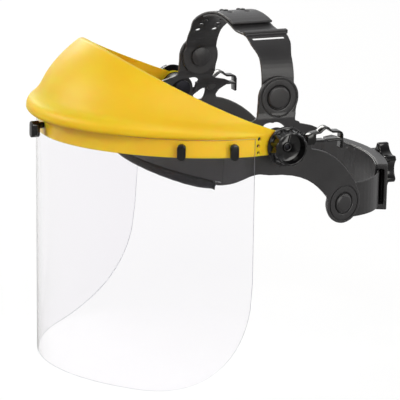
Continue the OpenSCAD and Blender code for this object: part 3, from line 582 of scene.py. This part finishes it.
# A column every seven quarters of a degree, from one leg round to the other.
angles = [quarters / 4 for quarters in range(-464, 465, 7)]
browguard = loft("browguard_shell", [guard_column(s) for s in angles])
outward(browguard)
print("shell:", len(browguard.data.vertices), "points, box",
      [round(v / MM, 1) for v in browguard.dimensions])

# %% [markdown]
# The pivot plates are discs joined to the legs, and the holes go through: one bore for each pivot bolt,
# three stop holes in an arc beside it, and five bores for the turn buttons. A Boolean joins and cuts them
# exactly, as a mould with core pins does. It needs solid tools, so a rod is lofted for each, and the result
# is turned into a plain mesh.

# %% Rods and Booleans
def spokes(sides):
    """Points round a circle of radius 1."""
    return [(math.cos(k * math.tau / sides), math.sin(k * math.tau / sides)) for k in range(sides)]


def rod(name, start, end, radius, rim=0.0, sides=48):
    """A round rod between two points in mm, with its rims eased."""
    start, end = Vector(start), Vector(end)
    length = (end - start).length
    across = (end - start).to_track_quat("Z", "Y").to_matrix()
    stops = [(radius - rim, 0), (radius - 0.3 * rim, 0.3 * rim), (radius, rim), (radius, length - rim),
             (radius - 0.3 * rim, length - 0.3 * rim), (radius - rim, length)]
    if not rim:
        stops = [(radius, 0), (radius, length)]
    piece = loft(name, [[tuple(start + across @ Vector((r * x, r * y, z))) for x, y in spokes(sides)]
                        for r, z in stops])
    outward(piece)
    return piece


def settle(piece):
    """Turns a piece with modifiers into a plain mesh."""
    result = bpy.data.meshes.new_from_object(piece.evaluated_get(bpy.context.evaluated_depsgraph_get()))
    old = piece.data
    piece.modifiers.clear()
    piece.data = result
    result.name = piece.name
    bpy.data.meshes.remove(old)


def combine(piece, others, operation):
    """Joins to or cuts from a piece the other pieces, which are then removed."""
    for other in others:
        modifier = piece.modifiers.new("combine", "BOOLEAN")
        modifier.operation, modifier.solver, modifier.object = operation, "EXACT", other
    settle(piece)
    for other in others:
        mesh = other.data
        bpy.data.objects.remove(other)
        bpy.data.meshes.remove(mesh)


PLATE_IN, PLATE_OUT, PLATE_R, PLATE_RIM = 111.1, 114.3, 11.0, 0.5
plates = [rod("plate", (side * PLATE_IN, 0, 0), (side * PLATE_OUT, 0, 0), PLATE_R, PLATE_RIM, sides=96)
          for side in (-1, 1)]
combine(browguard, plates, "UNION")
print("shell with plates:", len(browguard.data.polygons), "faces")

# %% [markdown]
# The holes are cut next. The button bores follow the plan's normal, and the visor needs the same ones
# later, so they come from a function. A cutter is longer than the wall is thick, and so it never ends
# inside it.

# %% Holes in the shell
BUTTON_Z, BUTTON_BORE_R, BORE_IN, BORE_OUT = 1.6, 2.55, 20, 6
BUTTON_ANGLES = {"centre": 0.0, "left_front": 62.3, "left_rear": 81.4, "right_front": -62.3,
                 "right_rear": -81.4}
PIVOT_BORE_R, CUT_IN, CUT_OUT = 4.05, 100, 130
# The stop holes: radius of their arc, width of the upper one, and each one's angle and share of that width.
STOP_ARC_R, STOP_W = 22.8, 3.4
STOPS = [(17.5, 1.0), (4, 0.88), (-9.5, 0.79)]


def button_bores():
    """A cutter for each turn button's shaft, along the plan's normal."""
    cutters = []
    for name, t in BUTTON_ANGLES.items():
        place, normal = plan(t)
        near, far = place - normal * BORE_IN, place + normal * BORE_OUT
        cutters.append(rod("bore_" + name, (near.x, near.y, BUTTON_Z), (far.x, far.y, BUTTON_Z),
                           BUTTON_BORE_R, sides=32))
    return cutters


cutters = [rod("pivot_bore", (side * CUT_IN, 0, 0), (side * CUT_OUT, 0, 0), PIVOT_BORE_R) for side in (-1, 1)]
for angle, share in STOPS:
    y, z = -STOP_ARC_R * math.cos(math.radians(angle)), STOP_ARC_R * math.sin(math.radians(angle))
    cutters += [rod("stop", (side * CUT_IN, y, z), (side * CUT_OUT, y, z), STOP_W * share / 2, sides=24)
                for side in (-1, 1)]
cutters += button_bores()
print("holes:", len(cutters))
combine(browguard, cutters, "DIFFERENCE")

# %% [markdown]
# A finished piece gets its finish and smooth shading, with the edges past an angle kept sharp. Then it is
# hung on the body that it rides on, and the CAD nodes that it takes the place of are hidden.

# %% Dress the brow shell
def dress(piece, material, slot, body, *nodes, sharp=38):
    """Gives a piece its finish and smooth shading, and puts it in the place of its CAD nodes."""
    if material and not piece.data.materials:
        piece.data.materials.append(material)
    piece.data.polygons.foreach_set("use_smooth", [True] * len(piece.data.polygons))
    piece.data.set_sharp_from_angle(angle=math.radians(sharp))
    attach(piece, body)
    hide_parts(*nodes)
    print(piece.name, "-", len(piece.data.polygons), "faces, rides on", body)


dress(browguard, yellow_polypropylene, "browguard_plastic", "shield", "browguard")

# %% [markdown]
# ## The visor
# The visor is a flat sheet bent round the band, so every upright line on it stays straight and its whole
# shape follows one rule. That suits Geometry Nodes: a grid goes in, the rule moves each point, and the
# sizes are named inputs that can be turned by hand. The rule is a list of small sums: each has a name, an
# operation and what it works on. It starts from u, which runs from -1 to 1 round the visor, and v, from 0
# at the hem to 1 at the top, and ends in x, y and z in millimetres.

# %% Visor rule as a node tree
VISOR_SIZES = {"Half width": HALF_W, "Depth": DEPTH, "Nose": NOSE, "Setback": SETBACK, "Flare": 0.072,
               "Lead": 0.023, "Taper": 0.049, "Corner height": 87.0, "Corner power": 2.3, "Hem": -191.0,
               "Band": BAND_LOW, "Top": 7.8}
VISOR_RULE = [
    ("t", "MULTIPLY", "u", math.pi / 2), ("sin", "SINE", "t", 0), ("cos", "COSINE", "t", 0),
    ("reach", "ABSOLUTE", "u", 0), ("past", "MULTIPLY_ADD", "reach", 2.0, -1.0), ("c", "MAXIMUM", "past", 0),
    ("c_q", "POWER", "c", "Corner power"), ("rest", "SUBTRACT", 1.0, "c_q"),
    ("root", "DIVIDE", 1.0, "Corner power"), ("arc", "POWER", "rest", "root"),
    ("gone", "SUBTRACT", 1.0, "arc"), ("low", "MULTIPLY_ADD", "gone", "Corner height", "Hem"),
    ("span", "SUBTRACT", "Top", "low"), ("z", "MULTIPLY_ADD", "v", "span", "low"),
    ("under", "SUBTRACT", "Band", "z"), ("h", "MAXIMUM", "under", 0),
    ("wide", "MULTIPLY_ADD", "h", "Flare", "Half width"), ("x", "MULTIPLY", "wide", "sin"),
    ("sin_2", "MULTIPLY", "sin", "sin"), ("drawn", "MULTIPLY", "sin_2", "Nose"),
    ("keep", "SUBTRACT", 1.0, "drawn"), ("less", "MULTIPLY", "h", "Taper"),
    ("deep", "SUBTRACT", "Depth", "less"), ("fore", "MULTIPLY", "deep", "cos"),
    ("ahead", "MULTIPLY", "fore", "keep"), ("lead", "MULTIPLY_ADD", "h", "Lead", "Setback"),
    ("front", "ADD", "ahead", "lead"), ("y", "MULTIPLY", "front", -1.0),
]
VISOR_COLUMNS, VISOR_ROWS = 241, 49
tree = bpy.data.node_groups.new("visor_sheet_rule", "GeometryNodeTree")
sockets = {name: tree.interface.new_socket(name, in_out="INPUT", socket_type="NodeSocketFloat")
           for name in VISOR_SIZES}
tree.interface.new_socket("Geometry", in_out="OUTPUT", socket_type="NodeSocketGeometry")
sizes = add(tree, "NodeGroupInput")
grid = add(tree, "GeometryNodeMeshGrid", {"Size X": 2.0, "Size Y": 1.0, "Vertices X": VISOR_COLUMNS,
                                          "Vertices Y": VISOR_ROWS})
spot = add(tree, "ShaderNodeSeparateXYZ", {0: add(tree, "GeometryNodeInputPosition")})
known = {name: sizes.outputs[name] for name in VISOR_SIZES}
known["u"] = spot.outputs["X"]
known["v"] = add(tree, "ShaderNodeMath", {0: spot.outputs["Y"], 1: 0.5}, operation="ADD")
for name, operation, *values in VISOR_RULE:
    known[name] = add(tree, "ShaderNodeMath", {i: known.get(v, v) for i, v in enumerate(values)},
                      operation=operation)
point = add(tree, "ShaderNodeCombineXYZ", {"X": known["x"], "Y": known["y"], "Z": known["z"]})
metres = add(tree, "ShaderNodeVectorMath", {0: point, "Scale": MM}, operation="SCALE")
moved = add(tree, "GeometryNodeSetPosition", {"Geometry": grid, "Position": metres})
real = add(tree, "GeometryNodeRealizeInstances", {"Geometry": moved})
finish = add(tree, "GeometryNodeSetMaterial", {"Geometry": real, "Material": clear_polycarbonate})
add(tree, "NodeGroupOutput", {"Geometry": finish})
print("visor rule:", len(tree.nodes), "nodes,", len(VISOR_SIZES), "sizes")

# %% [markdown]
# The rule gives a sheet without thickness, and Solidify thickens it inwards. It can give the rim a material
# of its own, the painted grey shade of the cut edge. A Boolean then cuts the bores for the buttons.

# %% Visor sheet
SHEET_MM = 1.0
visor = bpy.data.objects.new("visor_sheet", bpy.data.meshes.new("visor_sheet"))
scene.collection.objects.link(visor)
modifier = visor.modifiers.new("rule", "NODES")
modifier.node_group = tree
for name, value in VISOR_SIZES.items():
    modifier[sockets[name].identifier] = value
settle(visor)
visor.data.materials.clear()
visor.data.materials.append(clear_polycarbonate)
# The rim's second material is the painted grey shade of the cut edge.
visor.data.materials.append(painted_edge_shade)
solid = visor.modifiers.new("thickness", "SOLIDIFY")
solid.thickness, solid.offset, solid.material_offset_rim = SHEET_MM * MM, -1.0, 1
settle(visor)
combine(visor, button_bores(), "DIFFERENCE")
dress(visor, None, "visor_sheet", "shield", "visor", sharp=50)

# %% [markdown]
# ## Moulded small parts
# Buttons, knobs, straps and clips have the right shape in the CAD already, but their edges are razor sharp,
# and a real moulding never is. A copy of the CAD mesh comes as loose triangles, so it is merged first and
# flat faces are joined. Plain parts then get a small bevel. Thin curved parts with many facets are remeshed
# in fine voxels and smoothed instead, which rounds their edges and melts the facets into one curve.

# %% Rounded copies of CAD nodes
# Points closer than this in mm are one. Faces within so many degrees are one flat face, and an edge that
# turns by more than so many is sharp.
MERGE_MM, FLAT_WITHIN, SHARP_PAST = 0.002, 0.8, 30


def cad_copy(node):
    """A merged copy of a CAD node's mesh as a new piece."""
    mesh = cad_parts[node].data.copy()
    mesh.materials.clear()
    work = bmesh.new()
    work.from_mesh(mesh)
    bmesh.ops.remove_doubles(work, verts=work.verts, dist=MERGE_MM * MM)
    bmesh.ops.dissolve_limit(work, angle_limit=math.radians(FLAT_WITHIN), verts=work.verts, edges=work.edges)
    work.to_mesh(mesh)
    work.free()
    piece = bpy.data.objects.new(node + "_moulded", mesh)
    scene.collection.objects.link(piece)
    return piece


def bevelled(node, width_mm, segments=3):
    """A copy of a CAD node with its sharp edges rounded."""
    piece = cad_copy(node)
    bevel = piece.modifiers.new("edges", "BEVEL")
    bevel.width, bevel.segments = width_mm * MM, segments
    bevel.limit_method, bevel.angle_limit = "ANGLE", math.radians(SHARP_PAST)
    bevel.use_clamp_overlap, bevel.loop_slide = False, False
    settle(piece)
    return piece


def melted(node, voxel_mm, passes):
    """A copy of a CAD node, remeshed in voxels and smoothed, so that edges are round and facets gone."""
    piece = cad_copy(node)
    remesh = piece.modifiers.new("voxels", "REMESH")
    remesh.mode, remesh.voxel_size = "VOXEL", voxel_mm * MM
    soften = piece.modifiers.new("soften", "SMOOTH")
    soften.factor, soften.iterations = 0.5, passes
    settle(piece)
    return piece


for name in BUTTON_ANGLES:
    dress(bevelled("turn_button_" + name, 0.7), black_nylon, "knob_plastic", "button_" + name,
          "turn_button_" + name)
for side in ("left", "right"):
    dress(bevelled("pivot_knob_" + side, 0.35, segments=2), black_nylon, "knob_plastic", "knob_" + side,
          "pivot_knob_" + side)
    dress(bevelled("pivot_bolt_" + side, 0.5), black_steel, "black_steel", "headband", "pivot_bolt_" + side)
    dress(bevelled("pivot_washer_" + side, 0.3), black_nylon, "knob_plastic", "headband",
          "pivot_washer_" + side)

# %% [markdown]
# ## The headband
# The brow band and the two side frames are one curve round the head in three pieces. The frames stand up
# into posts for the crown strap, lean in at the top, and run back and down to the nape. A post and a rear
# arm each end in a disc, with a ring groove round its rivet. Smoothing blurs a groove that is only a
# millimetre wide, so it is cut once more afterwards, by a Boolean with a hoop.

# %% Hoops for the ring grooves
# The middle of each disc's outer face on the left, in mm, and its groove's inner and outer radius.
CROWN_DISC, CROWN_GROOVE = (81.6, 8.4, 30.0), (14.1, 15.1)
NAPE_DISC, NAPE_GROOVE = (88.78, 63.6, -56.9), (13.3, 14.3)
# How far the nape discs turn from straight out, a groove's depth, and how far a hoop stands out of the face.
NAPE_TOE, GROOVE_DEPTH, HOOP_PROUD = math.radians(13.98), 0.9, 3.0


def hoop(name, side, centre, toe, radii, sides=96):
    """A ring of square section that reaches the groove's depth into a disc's outer face."""
    axis = Vector((side * math.cos(toe), math.sin(toe), 0))
    across = axis.to_track_quat("Z", "Y").to_matrix()
    middle = Vector((side * centre[0], centre[1], centre[2]))
    section = [(radii[0], -GROOVE_DEPTH), (radii[1], -GROOVE_DEPTH), (radii[1], HOOP_PROUD),
               (radii[0], HOOP_PROUD)]
    piece = loft(name, [[tuple(middle + across @ Vector((r * x, r * y, h))) for r, h in section]
                        for x, y in spokes(sides)], loop=True)
    outward(piece)
    return piece


print("grooves in mm:", CROWN_GROOVE, NAPE_GROOVE)

# %% [markdown]
# The clips behind the posts hold the strap of goggles or a mask. They are small plain mouldings with a
# shine, so they get a bevel, and the long curved band and frames are melted.

# %% Brow band, side frames and clips
dress(melted("brow_band", 0.55, 8), black_polyethylene, "headgear_plastic", "headband", "brow_band")
for side, sign in (("left", 1), ("right", -1)):
    side_frame = melted("side_frame_" + side, 0.45, 4)
    combine(side_frame, [hoop("crown_groove", sign, CROWN_DISC, 0.0, CROWN_GROOVE),
                         hoop("nape_groove", sign, NAPE_DISC, NAPE_TOE, NAPE_GROOVE)], "DIFFERENCE")
    dress(side_frame, black_polyethylene, "headgear_plastic", "headband", "side_frame_" + side)
    dress(bevelled("strap_clip_" + side, 0.4, segments=2), black_nylon, "headgear_plastic", "headband",
          "strap_clip_" + side)

# %% [markdown]
# ## Crown and nape
# The crown strap is two flat mouldings that snap together at the top, pegs into holes. Each half turns on a
# rivet in a post's disc. The straps bend in a long curve and are melted, and the rivets get a bevel.

# %% Crown straps and rivets
for side in ("left", "right"):
    dress(melted("crown_strap_" + side, 0.4, 5), black_polyethylene, "headgear_plastic", "crown",
          "crown_strap_" + side)
    dress(bevelled("crown_rivet_" + side, 0.3, segments=2), black_polyethylene, "headgear_plastic",
          "headband", "crown_rivet_" + side)

# %% [markdown]
# The nape straps run into a housing at the back, where the star wheel's pinion draws them together. What
# turns rides on the ratchet's own body: the wheel, its pinion and its screw. The click spring stays in the
# housing.

# %% Nape straps, housing and wheel
for side in ("left", "right"):
    dress(melted("nape_strap_" + side, 0.4, 5), black_polyethylene, "headgear_plastic", "nape",
          "nape_strap_" + side)
    dress(bevelled("nape_rivet_" + side, 0.3, segments=2), black_polyethylene, "headgear_plastic",
          "headband", "nape_rivet_" + side)
dress(melted("ratchet_housing", 0.5, 8), black_polyethylene, "headgear_plastic", "nape", "ratchet_housing")
dress(melted("ratchet_cover", 0.5, 6), black_polyethylene, "headgear_plastic", "nape", "ratchet_cover")
dress(bevelled("ratchet_spring", 0.12, segments=2), zinc_steel, "steel", "nape", "ratchet_spring")
dress(bevelled("ratchet_pinion", 0.2, segments=2), grey_nylon, "nylon", "ratchet", "ratchet_pinion")
dress(bevelled("ratchet_knob", 1.0), black_nylon, "knob_plastic", "ratchet", "ratchet_knob")
dress(bevelled("ratchet_screw", 0.2, segments=2), zinc_steel, "steel", "ratchet", "ratchet_screw")

# %% [markdown]
# ## The brow pad
# The pad is foam sewn into cloth: full in the middle, drawn thin at its ends. Moving points by hand gives a
# block with round edges. A cloth simulation gives the fullness for nothing: the CAD solid is remeshed as a
# cloth bag, filled out by half a millimetre of foam and blown up with a small pressure, and each point is
# held near where it began.

# %% Brow pad as a blown-up cloth bag
# In mm: the bag's mesh, the foam's fullness, and the most that a point may move.
BAG_VOXEL, FOAM, MOST_MOVE = 1.3, 0.5, 1.3
BAG_PRESSURE, BAG_FRAMES = 4.0, 20
pad = cad_copy("brow_pad")
pad.name = "brow_pad_cloth"
remesh = pad.modifiers.new("voxels", "REMESH")
remesh.mode, remesh.voxel_size = "VOXEL", BAG_VOXEL * MM
foam = pad.modifiers.new("foam", "DISPLACE")
foam.strength, foam.mid_level = FOAM * MM, 0.0
settle(pad)
start = np.empty(len(pad.data.vertices) * 3, dtype=np.float32)
pad.data.vertices.foreach_get("co", start)
cloth = pad.modifiers.new("cloth", "CLOTH")
cloth.settings.use_pressure, cloth.settings.uniform_pressure_force = True, BAG_PRESSURE
cloth.settings.effector_weights.gravity = 0.0
cloth.settings.quality, cloth.settings.mass = 5, 0.2
for number in range(1, BAG_FRAMES + 1):
    scene.frame_set(number)
settle(pad)
scene.frame_set(1)
end = np.empty_like(start)
pad.data.vertices.foreach_get("co", end)
step = (end - start).reshape(-1, 3)
length = np.linalg.norm(step, axis=1, keepdims=True)
step *= np.minimum(1.0, MOST_MOVE * MM / np.maximum(length, 1e-9))
pad.data.vertices.foreach_set("co", (start.reshape(-1, 3) + step).astype(np.float32).ravel())
finer = pad.modifiers.new("finer", "SUBSURF")
finer.levels = finer.render_levels = 1
settle(pad)
dress(pad, knit_cloth, "pad_fabric", "headband", "brow_pad", sharp=180)
print("largest move in mm:", round(float(length.max()) / MM, 2))
